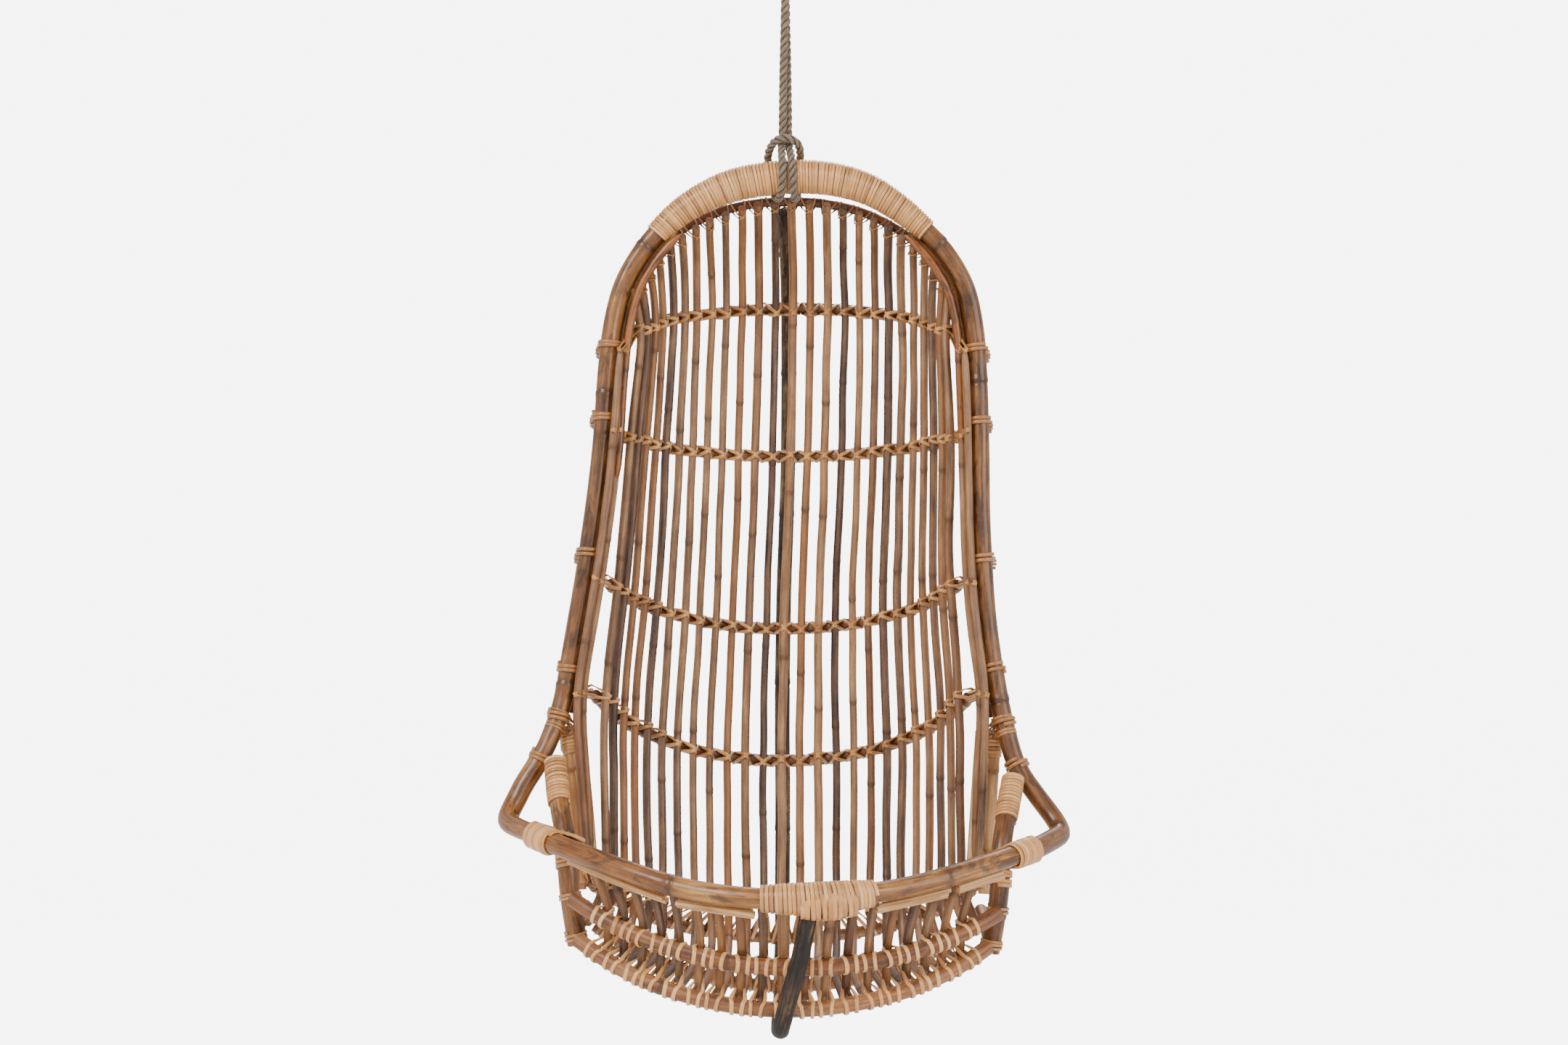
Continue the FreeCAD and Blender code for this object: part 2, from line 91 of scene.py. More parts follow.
def long_way(tree, place, normal, radius):
    """The direction that a cane runs in, seen from a place on its axis; None where there is no long way."""
    side = normal.orthogonal().normalized()
    rays = [Quaternion(normal, math.pi * turn / 12) @ side for turn in range(24)]
    far, ray = max(((tree.ray_cast(place, ray)[3] or 0, ray) for ray in rays), key=lambda found: found[0])
    return ray if far > 2.5 * radius else None


def trace(node, count=1):
    """Middle lines and radii of the round canes in a CAD node."""
    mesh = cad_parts[node].data
    tree = BVHTree.FromPolygons([v.co for v in mesh.vertices], [tuple(p.vertices) for p in mesh.polygons])
    found = []
    for face in mesh.polygons:
        surface = Vector(face.center)
        normal = Vector(face.normal)
        wall = tree.ray_cast(surface - normal * 1e-5, -normal)[0]
        if wall is None:
            continue
        start = (surface + wall) / 2
        radius = (surface - wall).length / 2
        if any(line.distance(start) < radius for line, _ in found):
            continue
        heading = long_way(tree, start, normal, radius)
        if heading is None:
            continue
        points = walk(tree, start, -heading)[:0:-1] + walk(tree, start, heading)
        found.append((Line(points), radius))
        if len(found) == count:
            return found
    raise SystemExit("fewer canes than wanted in " + node)


class Line:
    """A smooth line with frames that don't twist along it."""

    def __init__(self, points, step=CANE_STEP):
        rough = np.array(points, float)
        along = np.concatenate([[0], np.cumsum(np.linalg.norm(np.diff(rough, axis=0), axis=1))])
        count = max(3, round(along[-1] / step))
        even = np.linspace(0, along[-1], count + 1)
        self.points = np.stack([np.interp(even, along, rough[:, axis]) for axis in range(3)], axis=1)
        self.lengths = even
        self.length = along[-1]
        self.tangents = unit(np.gradient(self.points, axis=0))
        side = Vector(self.tangents[0]).orthogonal().normalized()
        sides = []
        for tangent in self.tangents:
            side = Vector(side) - Vector(tangent) * Vector(side).dot(Vector(tangent))
            side.normalize()
            sides.append(side.copy())
        self.sides = np.array(sides)
        self.ups = np.cross(self.tangents, self.sides)

    def at(self, lengths):
        """Points, tangents, sides and ups at some lengths along the line."""
        return [np.stack([np.interp(lengths, self.lengths, values[:, axis]) for axis in range(3)], axis=-1)
                for values in (self.points, self.tangents, self.sides, self.ups)]

    def nearest(self, place):
        """Length along the line to the point nearest to a place."""
        return float(self.lengths[np.linalg.norm(self.points - np.array(place), axis=1).argmin()])

    def part(self, start, end):
        """The stretch between two lengths along the line."""
        return Line(self.at(np.linspace(start, end, max(20, round((end - start) / CANE_STEP))))[0])

    def distance(self, place):
        return float(np.linalg.norm(self.points - np.array(place), axis=1).min())

    def seen_at(self, x, z):
        """Length along the line to the point nearest to a place seen from the front."""
        return float(self.lengths[np.hypot(self.points[:, 0] - x, self.points[:, 2] - z).argmin()])

    def within(self, node):
        """First and last length of the part that lies in a CAD node's box."""
        low, high = (np.array(corner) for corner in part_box(node))
        inside = ((self.points > low) & (self.points < high)).all(axis=1)
        return self.lengths[inside].min(), self.lengths[inside].max()


def crossing(over, under):
    """Lengths along two lines where they pass closest to each other."""
    gaps = np.linalg.norm(over.points[:, None] - under.points[None], axis=2)
    first, second = np.unravel_index(gaps.argmin(), gaps.shape)
    return float(over.lengths[first]), float(under.lengths[second])


def loose_parts(node):
    """Middles of the separate solids in a CAD node."""
    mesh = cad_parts[node].data
    home = {}
    groups = {}
    parent = list(range(len(mesh.vertices)))

    def root(index):
        while parent[index] != index:
            parent[index] = parent[parent[index]]
            index = parent[index]
        return index

    for vertex in mesh.vertices:
        key = tuple(round(value, 6) for value in vertex.co)
        parent[root(vertex.index)] = root(home.setdefault(key, vertex.index))
    for edge in mesh.edges:
        parent[root(edge.vertices[0])] = root(edge.vertices[1])
    for vertex in mesh.vertices:
        groups.setdefault(root(vertex.index), []).append(vertex.co)
    return [sum(group, Vector()) / len(group) for group in groups.values()]


# ---------------------------------------------------------------- surfaces

class Surface:
    """Tubes and strips gathered in one mesh.

    Every vertex has a grain (round the cane and along it, in metres) and a tint (lightness, warmth, knot); on
    the rope the tint's first value is how far the strand faces out, which its look turns into painted shade in
    the grooves.
    """

    def __init__(self):
        self.vertices = []
        self.faces = []
        self.grain = []
        self.tint = []
        self.count = 0

    def put(self, points, grain, tint):
        self.vertices.append(points)
        self.grain.append(grain)
        self.tint.append(tint)
        self.count += len(points)

    def add(self, rings, grain, tint, closed=False):
        """Joins rings of points (count, around, 3) into a tube, with flat ends unless it closes on itself."""
        count, around = rings.shape[:2]
        base = self.count
        self.put(rings.reshape(-1, 3), grain.reshape(-1, 3), tint.reshape(-1, 3))
        rows = np.arange(count if closed else count - 1)[:, None] * around
        columns = np.arange(around)[None]
        beside = (columns + 1) % around
        ahead = (rows + around) % (count * around)
        quads = np.stack([rows + columns, rows + beside, ahead + beside, ahead + columns], axis=-1)
        self.faces += (quads.reshape(-1, 4) + base).tolist()
        if closed:
            return
        for row, order in ((0, -1), (count - 1, 1)):
            base = self.count
            self.put(rings[row], grain[row], tint[row])
            self.faces.append((base + np.arange(around))[::order].tolist())

    def build(self, name, material, slot, body="chair", nodes=()):
        mesh = bpy.data.meshes.new(name)
        mesh.from_pydata(np.concatenate(self.vertices).tolist(), [], self.faces)
        for label, values in (("grain", self.grain), ("tint", self.tint)):
            layer = mesh.attributes.new(label, "FLOAT_VECTOR", "POINT")
            layer.data.foreach_set("vector", np.concatenate(values).astype(np.float32).ravel())
        mesh.polygons.foreach_set("use_smooth", [True] * len(mesh.polygons))
        mesh.materials.append(material)
        piece = bpy.data.objects.new(name, mesh)
        bpy.context.scene.collection.objects.link(piece)
        if body:
            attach(piece, body)
        if nodes:
            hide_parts(*nodes)
        return piece


def ripple(lengths, pitch, seed):
    """Smooth noise from -1 to 1 along a cane."""
    return np.array([noise(Vector((length / pitch, seed * 7.31, 0.5))) for length in lengths])


def random_knots(length, shortest, longest):
    knots = []
    place = random.uniform(0.2, 1.0) * longest
    while place < length - 0.02:
        knots.append(place)
        place += random.uniform(shortest, longest)
    return knots


def cane_lengths(length, knots):
    """Where the rings of a cane go: evenly, and closer together at its knots."""
    even = np.linspace(0, length, max(3, round(length / CANE_STEP)))
    close = [knot + offset * 1.5 * MM for knot in knots for offset in range(-9, 10)]
    return np.unique(np.clip(np.concatenate([even, close]), 0, length))


def add_cane(surface, line, radius, knots, tone=(0, 0), spread=(0.25, 0.2), sides=18, tip=0.0, swell=0.06,
             wander=0.9 * MM):
    """A cane with growth knots, its tone changing a little at each; tip is how long its round ends are."""
    lengths = cane_lengths(line.length, knots)
    if tip:
        near_tip = np.linspace(0, tip, 8)
        lengths = np.union1d(lengths, np.concatenate([near_tip, line.length - near_tip]))
    centre, _, side, up = line.at(lengths)
    seed = random.uniform(1, 900)
    sway = side * ripple(lengths, 0.11, seed)[:, None] + up * ripple(lengths, 0.09, seed + 3)[:, None]
    centre = centre + sway * wander
    radii = radius * (1 + 0.05 * ripple(lengths, 0.16, seed + 5))
    if tip:
        inset = np.clip(np.minimum(lengths, line.length - lengths) / tip, 0, 1)
        radii *= np.sqrt(np.clip(1 - (1 - inset) ** 2, 0.02, 1))
    knot_mark = np.zeros(len(lengths))
    light = np.full(len(lengths), tone[0] + random.uniform(-spread[0], spread[0]))
    warm = np.full(len(lengths), tone[1] + random.uniform(-spread[1], spread[1]))
    for knot in knots:
        offset = lengths - knot
        groove = 0.05 * np.exp(-((offset - 5 * MM) / (2 * MM)) ** 2)
        radii *= 1 + swell * np.exp(-(offset / (5 * MM)) ** 2) - groove
        knot_mark += np.exp(-((offset - 3 * MM) / (3.2 * MM)) ** 2) + 0.5 * np.exp(-(offset / (15 * MM)) ** 2)
        past = 1 / (1 + np.exp(-np.clip(offset / (2 * MM), -30, 30)))
        light += past * random.uniform(-spread[0], spread[0])
        warm += past * random.uniform(-spread[1], spread[1])
    angles = np.linspace(0, 2 * math.pi, sides, endpoint=False)[None]
    oval = 1 + 0.03 * np.cos(2 * angles + seed)
    out = side[:, None] * np.cos(angles)[..., None] + up[:, None] * np.sin(angles)[..., None]
    rings = centre[:, None] + out * (radii[:, None] * oval)[..., None]
    grain = np.stack(np.broadcast_arrays(radius * np.cos(angles), radius * np.sin(angles),
                                         lengths[:, None] + seed), axis=-1)
    tint = np.stack([light, warm, np.clip(knot_mark, 0, 1)], axis=-1)[:, None]
    surface.add(rings, grain, np.broadcast_to(tint, rings.shape))


STRIP = np.array([(-0.5, -0.35), (-0.49, 0.45), (-0.36, 0.9), (0.0, 1.0), (0.36, 0.9), (0.49, 0.45),
                  (0.5, -0.35)])


def add_strip(surface, points, outs, width, thick, tint, closed=False):
    """A flat strip of peel along some points, domed on the side that faces out."""
    ahead = np.roll(points, -1, axis=0) - np.roll(points, 1, axis=0) if closed else np.gradient(points, axis=0)
    tangents = unit(ahead)
    outs = unit(outs - tangents * (outs * tangents).sum(axis=1, keepdims=True))
    across = np.cross(tangents, outs)
    rings = (points[:, None] + across[:, None] * STRIP[None, :, :1] * width
             + outs[:, None] * STRIP[None, :, 1:] * thick)
    along = np.concatenate([[0], np.cumsum(np.linalg.norm(np.diff(points, axis=0), axis=1))])
    seed = random.uniform(1, 900)
    grain = np.stack(np.broadcast_arrays(STRIP[None, :, 0] * width, STRIP[None, :, 1] * thick,
                                         along[:, None] + seed), axis=-1)
    shades = np.broadcast_to(np.asarray(tint, float).reshape(-1, 1, 3), rings.shape)
    surface.add(rings, grain, shades, closed)


def smooth(values, per):
    """A closed curve through some values, with a number of steps from each to the next."""
    before, after, beyond = (np.roll(values, shift, axis=0) for shift in (1, -1, -2))
    rows = []
    for t in np.linspace(0, 1, per, endpoint=False):
        squared = (2 * before - 5 * values + 4 * after - beyond) * t ** 2
        cubed = (3 * values - before - 3 * after + beyond) * t ** 3
        rows.append(0.5 * (2 * values + (after - before) * t + squared + cubed))
    return np.stack(rows, axis=1).reshape(-1, values.shape[1])


def add_coil(surface, host, start, end, radius, pitch, width, thick, tone=(0, 0), spread=0.2, sides=40):
    """A strip of peel wound round a line; radius is a function of 0..1 along the coil."""
    turns = (end - start) / pitch
    lengths = np.linspace(start, end, max(8, round(abs(turns) * sides)))
    centre, tangent, side, up = host.at(lengths)
    share = (lengths - start) / (end - start)
    angles = share * turns * 2 * math.pi + random.uniform(0, 6)
    centre = centre + tangent * (0.3 * pitch * ripple(angles, 9.0, random.uniform(1, 90)))[:, None]
    wave = 0.25 * MM * ripple(angles * 0.03, 0.05, random.uniform(1, 90))
    outs = side * np.cos(angles)[:, None] + up * np.sin(angles)[:, None]
    points = centre + outs * (np.array([radius(value) for value in share]) + wave)[:, None]
    shade = spread * ripple(angles, 3.0, random.uniform(1, 90))
    warmth = 0.5 * spread * ripple(angles, 9.0, random.uniform(1, 90))
    tint = np.stack([tone[0] + shade, tone[1] + warmth, np.zeros(len(shade))], axis=1)
    add_strip(surface, points, outs, width, thick, tint)


def add_tie(surface, over, under, over_radius, under_radius, reach, width, slant=0.0, copies=1, gap=1.05,
            thick=1.0 * MM, tone=(0.1, 0)):
    """Peel tied crosswise over one cane and round the one under it, where the two cross.

    reach is how far to each side of the upper cane the peel goes round the lower one.
    """
    over_length, under_length = crossing(over, under)
    top = over.at(over_length)
    low = under.at(under_length)
    outward = unit(top[0] - low[0])
    along = unit(low[1] * np.sign(low[1][0]))
    upward = np.cross(outward, along)
    upward = upward if upward[2] > 0 else -upward
    lift = np.linalg.norm(top[0] - low[0])
    for copy in range(copies):
        shift = (copy - (copies - 1) / 2) * width * gap
        places = []
        faces = []
        for sign, front in ((1, 0.0), (-1, 0.6 * MM)):
            edge = reach[0] if sign > 0 else reach[1]
            for bend in np.radians([-60, -105, -150, -180, -210, -255, -300]):
                slip = sign * -(edge + shift * sign + slant * math.sin(bend / 2))
                ray = upward * math.sin(bend) + outward * math.cos(bend)
                places.append(along * slip + ray * (under_radius + 0.3 * MM))
                faces.append(ray)
            for part in (-0.75, 0.0, 0.75):
                ray = unit(along * part * sign + outward * 1.0)
                place = outward * lift + ray * (over_radius + 0.3 * MM + front)
                places.append(place + along * shift - upward * part * (0.55 * under_radius))
                faces.append(ray)
        jitter = random.uniform(-0.5, 0.5) * MM
        points = smooth(np.array(places), 4) + low[0] + upward * jitter
        outs = smooth(np.array(faces), 4)
        tint = (tone[0] + random.uniform(-0.25, 0.25), tone[1] + random.uniform(-0.2, 0.2), 0)
        add_strip(surface, points, outs, width * random.uniform(0.9, 1.1), thick, tint, closed=True)


# ---------------------------------------------------------------- materials

def new_material(name):
    material = bpy.data.materials.new(name)
    material.use_nodes = True
    tree = material.node_tree
    return material, tree, tree.nodes["Principled BSDF"]


def add_noise(tree, vector, scale, detail, rough=0.6, distortion=0.0):
    node = tree.nodes.new("ShaderNodeTexNoise")
    node.inputs["Scale"].default_value = scale
    node.inputs["Detail"].default_value = detail
    node.inputs["Roughness"].default_value = rough
    node.inputs["Distortion"].default_value = distortion
    tree.links.new(vector, node.inputs["Vector"])
    return node.outputs["Fac"]


def add_scaled(tree, vector, scale):
    node = tree.nodes.new("ShaderNodeVectorMath")
    node.operation = "MULTIPLY"
    node.inputs[1].default_value = scale
    tree.links.new(vector, node.inputs[0])
    return node.outputs["Vector"]


def add_math(tree, operation, first, second, clamp=False):
    node = tree.nodes.new("ShaderNodeMath")
    node.operation = operation
    node.use_clamp = clamp
    for socket, value in zip(node.inputs, (first, second)):
        if isinstance(value, (int, float)):
            socket.default_value = value
        else:
            tree.links.new(value, socket)
    return node.outputs["Value"]


def add_ramp(tree, value, stops):
    node = tree.nodes.new("ShaderNodeValToRGB")
    node.color_ramp.elements[0].position = stops[0][0]
    node.color_ramp.elements[0].color = rgb(stops[0][1])
    node.color_ramp.elements[1].position = stops[-1][0]
    node.color_ramp.elements[1].color = rgb(stops[-1][1])
    for place, colour in stops[1:-1]:
        node.color_ramp.elements.new(place).color = rgb(colour)
    tree.links.new(value, node.inputs["Fac"])
    return node.outputs["Color"]


def add_mix(tree, share, first, second, blend="MIX"):
    node = tree.nodes.new("ShaderNodeMix")
    node.data_type = "RGBA"
    node.blend_type = blend
    sockets = {"Factor": node.inputs[0], "A": node.inputs[6], "B": node.inputs[7]}
    for label, value in (("Factor", share), ("A", first), ("B", second)):
        if isinstance(value, (int, float)):
            sockets[label].default_value = value
        elif isinstance(value, str):
            sockets[label].default_value = rgb(value)
        else:
            tree.links.new(value, sockets[label])
    return node.outputs[2]


def rgb(code):
    """Linear colour from a hex code."""
    values = [int(code[start:start + 2], 16) / 255 for start in (1, 3, 5)]
    linear = [value / 12.92 if value <= 0.04045 else ((value + 0.055) / 1.055) ** 2.4 for value in values]
    return linear + [1.0]


def cane_material(name, shades, warm, knot, rough, coat=0.2, blotch=0.35, streak=0.45, bump=0.25, patch=0.0):
    """Cane or peel: shades from dark to light, a warmer colour, the colour of its knots, and how it shines.

    patch is how strong the patches of dark bark left on it are.
    """
    material, tree, shader = new_material(name)
    grain = tree.nodes.new("ShaderNodeAttribute")
    grain.attribute_name = "grain"
    tint = tree.nodes.new("ShaderNodeAttribute")
    tint.attribute_name = "tint"
    parts = tree.nodes.new("ShaderNodeSeparateXYZ")
    tree.links.new(tint.outputs["Vector"], parts.inputs["Vector"])
    light, warmth, mark = (parts.outputs[axis] for axis in "XYZ")
    fibres = add_noise(tree, add_scaled(tree, grain.outputs["Vector"], (1, 1, 0.045)), 900, 4, 0.65)
    streaks = add_noise(tree, add_scaled(tree, grain.outputs["Vector"], (1, 1, 0.05)), 230, 3, 0.55, 0.3)
    clouds = add_noise(tree, add_scaled(tree, grain.outputs["Vector"], (1, 1, 0.5)), 38, 3)
    tone = add_math(tree, "ADD", add_math(tree, "MULTIPLY", light, 0.5), 0.5)
    for pattern, weight in ((streaks, streak), (fibres, streak * 0.6), (clouds, blotch)):
        centred = add_math(tree, "MULTIPLY", add_math(tree, "SUBTRACT", pattern, 0.5), weight * 2)
        tone = add_math(tree, "ADD", tone, centred)
    stops = [(0.08 + 0.84 * count / (len(shades) - 1), shade) for count, shade in enumerate(shades)]
    colour = add_ramp(tree, tone, stops)
    warm_clouds = add_math(tree, "MULTIPLY", clouds, 0.15)
    warm_share = add_math(tree, "ADD", add_math(tree, "MULTIPLY", warmth, 0.9), warm_clouds, True)
    colour = add_mix(tree, warm_share, colour, warm)
    spots = add_noise(tree, add_scaled(tree, grain.outputs["Vector"], (1, 1, 0.35)), 420, 2)
    speck = add_math(tree, "MULTIPLY", add_math(tree, "GREATER_THAN", spots, 0.69), 0.45)
    ring = add_math(tree, "MULTIPLY", mark, add_math(tree, "ADD", streaks, 0.1), True)
    colour = add_mix(tree, add_math(tree, "MAXIMUM", speck, ring), colour, knot)
    if patch:
        stains = add_noise(tree, add_scaled(tree, grain.outputs["Vector"], (1, 1, 0.3)), 62, 5, 0.65, 0.8)
        edge = add_math(tree, "MULTIPLY", add_math(tree, "SUBTRACT", stains, 0.53), 14.0, True)
        colour = add_mix(tree, add_math(tree, "MULTIPLY", edge, patch), colour, knot)
    tree.links.new(colour, shader.inputs["Base Color"])
    tree.links.new(add_math(tree, "ADD", add_math(tree, "MULTIPLY", clouds, 0.3), rough, True),
                   shader.inputs["Roughness"])
    shader.inputs["Specular IOR Level"].default_value = 0.4
    shader.inputs["Coat Weight"].default_value = coat
    shader.inputs["Coat Roughness"].default_value = 0.25
    node = tree.nodes.new("ShaderNodeBump")
    node.inputs["Strength"].default_value = bump
    node.inputs["Distance"].default_value = 0.4 * MM
    tree.links.new(add_math(tree, "ADD", fibres, streaks), node.inputs["Height"])
    tree.links.new(node.outputs["Normal"], shader.inputs["Normal"])
    return material


CANE = {
    "frame_cane": cane_material("frame_cane_look", ["#2a1506", "#5c3412", "#8f5b26", "#c8944c"], "#8d4c18",
                                "#241107", 0.16, 0.3, patch=0.6),
    "slat_cane": cane_material("slat_cane_look", ["#33201a", "#614532", "#8b6443", "#b5885c"], "#96571f",
                               "#45240c", 0.32, 0.15, patch=0.15),
    "cross_cane": cane_material("cross_cane_look", ["#2c160b", "#63391c", "#925f34", "#bb8b56"], "#854620",
                                "#33190b", 0.3, 0.15, patch=0.55),
    "bark_cane": cane_material("bark_cane_look", ["#140d07", "#33241a", "#5a432c", "#8d7352"], "#5a3a20",
                               "#150d08", 0.55, 0.0, 0.8, 0.6, 0.5, patch=0.8),
    "straw_cane": cane_material("straw_cane_look", ["#734a25", "#ab7a46", "#d0a06b", "#e6c28f"], "#b3723d",
                                "#5b3719", 0.35, 0.1, 0.3, 0.7),
    "cane_peel": cane_material("cane_peel_look", ["#4e2d12", "#a06d3a", "#dd9f5c", "#efc283"], "#c97f41",
                               "#3a1e0c", 0.12, 0.45, 0.1, 0.1, 0.1),
}


def rope_material():
    material, tree, shader = new_material("jute_look")
    grain = tree.nodes.new("ShaderNodeAttribute")
    grain.attribute_name = "grain"
    fibres = add_noise(tree, add_scaled(tree, grain.outputs["Vector"], (1, 1, 0.12)), 1500, 4, 0.7)
    clumps = add_noise(tree, add_scaled(tree, grain.outputs["Vector"], (1, 1, 0.4)), 300, 3)
    fine = add_math(tree, "MULTIPLY", fibres, 0.65)
    mixed = add_math(tree, "ADD", fine, add_math(tree, "MULTIPLY", clumps, 0.35))
    colour = add_ramp(tree, mixed, [(0.3, "#30261d"), (0.45, "#66533f"), (0.56, "#8c745a"), (0.7, "#b49c7e")])
    tint = tree.nodes.new("ShaderNodeAttribute")
    tint.attribute_name = "tint"
    parts = tree.nodes.new("ShaderNodeSeparateXYZ")
    tree.links.new(tint.outputs["Vector"], parts.inputs["Vector"])
    # painted shade: the strands are darkened on the side that faces in towards the rope's middle, in the
    # grooves between strands
    groove = add_ramp(tree, parts.outputs["X"], [(0.0, "#1d150f"), (0.75, "#ffffff")])
    tree.links.new(add_mix(tree, 1.0, colour, groove, "MULTIPLY"), shader.inputs["Base Color"])
    shader.inputs["Roughness"].default_value = 0.85
    shader.inputs["Sheen Weight"].default_value = 0.3
    node = tree.nodes.new("ShaderNodeBump")
    node.inputs["Strength"].default_value = 0.7
    node.inputs["Distance"].default_value = 0.6 * MM
    tree.links.new(fibres, node.inputs["Height"])
    tree.links.new(node.outputs["Normal"], shader.inputs["Normal"])
    return material


def steel_material():
    material, tree, shader = new_material("steel_look")
    place = tree.nodes.new("ShaderNodeTexCoord").outputs["Object"]
    scratches = add_noise(tree, add_scaled(tree, place, (1, 1, 0.1)), 900, 4)
    grime = add_noise(tree, place, 60, 3)
    colour = add_ramp(tree, grime, [(0.3, "#8d8f90"), (0.6, "#b9bbbc")])
    tree.links.new(colour, shader.inputs["Base Color"])
    shader.inputs["Metallic"].default_value = 1.0
    rough = add_math(tree, "ADD", add_math(tree, "MULTIPLY", scratches, 0.25), 0.18)
    tree.links.new(rough, shader.inputs["Roughness"])
    return material


# ---------------------------------------------------------------- canes

def one(node):
    return trace(node)[0]


def name_of(count):
    return "slat_%02d" % count


slats = [one(name_of(count)) for count in range(1, SLAT_COUNT + 1)]
rails = [one("cross_rail_%d" % count) for count in range(1, 6)]
rings = [one("bottom_ring"), one("middle_ring")]
hoop, hoop_radius = one("hoop_cane")
front, front_radius = one("front_rail")
inner, inner_radius = one("inner_hoop")
posts = {side: one("%s_seat_post" % side) for side in ("left", "right")}
braces = {side: sorted(trace("%s_rear_braces" % side, 2), key=lambda found: -found[1])
          for side in ("left", "right")}
side_slats = {side: trace("%s_side_slats" % side, 2) for side in ("left", "right")}


def build_cane(node, line, radius, slot, knots, **looks):
    surface = Surface()
    add_cane(surface, line, radius, knots, **looks)
    surface.build(node + "_cane", CANE[slot], slot, nodes=[node])


SLAT_TONES = [(0.05, 0.2), (0.3, 0.0), (-0.1, -0.1), (0.15, 0.3), (0.1, 0.0), (-0.25, -0.1), (0.35, 0.1)]
for count, (line, radius) in enumerate(slats, start=1):
    tone = SLAT_TONES[count % len(SLAT_TONES)]
    build_cane(name_of(count), line, radius * random.uniform(0.98, 1.1), "slat_cane",
               random_knots(line.length, 0.13, 0.33), tone=tone, spread=(0.2, 0.25), wander=1.8 * MM)
for count, (line, radius) in enumerate(rails, start=1):
    build_cane("cross_rail_%d" % count, line, radius, "cross_cane", random_knots(line.length, 0.15, 0.3))
for node, (line, radius) in zip(("bottom_ring", "middle_ring"), rings):
    build_cane(node, line, radius, "cross_cane", random_knots(line.length, 0.15, 0.3), tone=(0.2, 0.25))

HOOP_KNOTS = [(-0.193, -0.435), (-0.241, -0.637), (0.214, -0.429), (0.261, -0.623), (-0.285, -1.03),
              (0.287, -1.05)]
FRONT_KNOTS = [(-0.139, -1.255), (0.19, -1.25)]
CORNER_TRIM = 20 * MM
CORNER_PULL = 16 * MM


def end_towards(line, sign):
    """Length of the line's end on one side of the chair, and the way back along the line from it."""
    at_start = line.points[0][0] * sign > 0
    return (0.0, 1) if at_start else (line.length, -1)


def arm_line(sign, band, lashing):
    """From a place on the hoop down to the arm's corner, round it, and on to a place on the front rail."""
    hoop_end, hoop_back = end_towards(hoop, sign)
    front_end, front_back = end_towards(front, sign)
    down = hoop.at(np.linspace(band, hoop_end + hoop_back * CORNER_TRIM, 30))[0]
    along = front.at(np.linspace(front_end + front_back * CORNER_TRIM, lashing, 20))[0]
    pull_in = unit(down[-1] - down[-2]) * CORNER_PULL
    pull_out = unit(along[1] - along[0]) * CORNER_PULL
    handles = (down[-1], down[-1] + pull_in, along[0] - pull_out, along[0])
    corner = [(1 - t) ** 3 * handles[0] + 3 * t * (1 - t) ** 2 * handles[1]
              + 3 * t ** 2 * (1 - t) * handles[2] + t ** 3 * handles[3] for t in np.linspace(0, 1, 14)[1:-1]]
    return Line(np.concatenate([down, corner, along]), 3 * MM)


frame_canes = Surface()
bands_at = {}
lashing_at = {}
for side, sign in (("left", -1), ("right", 1)):
    hoop_end = end_towards(hoop, sign)[0]
    bands = [hoop.nearest(middle) for middle in loose_parts("%s_hoop_bands" % side)]
    bands_at[side] = min(bands, key=lambda length: abs(length - hoop_end))
    lashing_at[side] = crossing(front, posts[side][0])[0]
    arm = arm_line(sign, bands_at[side], lashing_at[side])
    add_cane(frame_canes, arm, front_radius, [], tone=(0.0, 0.1), sides=28)
for line, radius, stops, places in ((hoop, hoop_radius, bands_at, HOOP_KNOTS),
                                    (front, front_radius, lashing_at, FRONT_KNOTS)):
    middle = line.part(*sorted(stops.values()))
    knots = [middle.seen_at(*place) for place in places]
    add_cane(frame_canes, middle, radius, knots, tone=(0.1, 0.1), sides=28)
frame_canes.build("hoop_and_arm_canes", CANE["frame_cane"], "frame_cane", nodes=["hoop_cane", "front_rail"])
build_cane("inner_hoop", inner, inner_radius, "cross_cane", random_knots(inner.length, 0.2, 0.4),
           tone=(-0.2, 0))
spine, spine_radius = one("spine_cane")
build_cane("spine_cane", spine, spine_radius, "bark_cane", random_knots(spine.length, 0.1, 0.25), sides=24)
for side in ("left", "right"):
    line, radius = posts[side]
    build_cane("%s_seat_post" % side, line, radius, "frame_cane", random_knots(line.length, 0.1, 0.2))

for side in ("left", "right"):
    extra = Surface()
    for line, radius in side_slats[side]:
        add_cane(extra, line, radius, random_knots(line.length, 0.13, 0.33), tone=(0.3, 0.1), tip=35 * MM)
    extra.build("%s_side_slat_canes" % side, CANE["slat_cane"], "slat_cane", nodes=["%s_side_slats" % side])
    (outer_line, outer_radius), (inner_line, inner_brace_radius) = braces[side]
    fan = Surface()
    add_cane(fan, outer_line, outer_radius, random_knots(outer_line.length, 0.08, 0.15), tone=(0.2, 0.3))
    for share in (0.25, 0.6, 1.0):
        even = np.linspace(0, 1, 30)
        between = (outer_line.at(even * outer_line.length)[0] * (1 - share)
                   + inner_line.at(even * inner_line.length)[0] * share)
        between[:, 1] -= 9 * MM * math.sin(share * math.pi)
        add_cane(fan, Line(between), inner_brace_radius * (0.75 + 0.25 * share), [], tone=(0.3, 0.2), sides=12)
    fan.build("%s_brace_canes" % side, CANE["straw_cane"], "straw_cane", nodes=["%s_rear_braces" % side])

floor_rail, floor_rail_radius = one("floor_rail")
floor_knots = random_knots(floor_rail.length, 0.15, 0.3)
build_cane("floor_rail", floor_rail, floor_rail_radius, "cross_cane", floor_knots)
sills = Surface()
for line, radius in trace("side_sills", 2):
    add_cane(sills, line, radius, random_knots(line.length, 0.1, 0.2))
sills.build("side_sill_canes", CANE["cross_cane"], "cross_cane", nodes=["side_sills"])

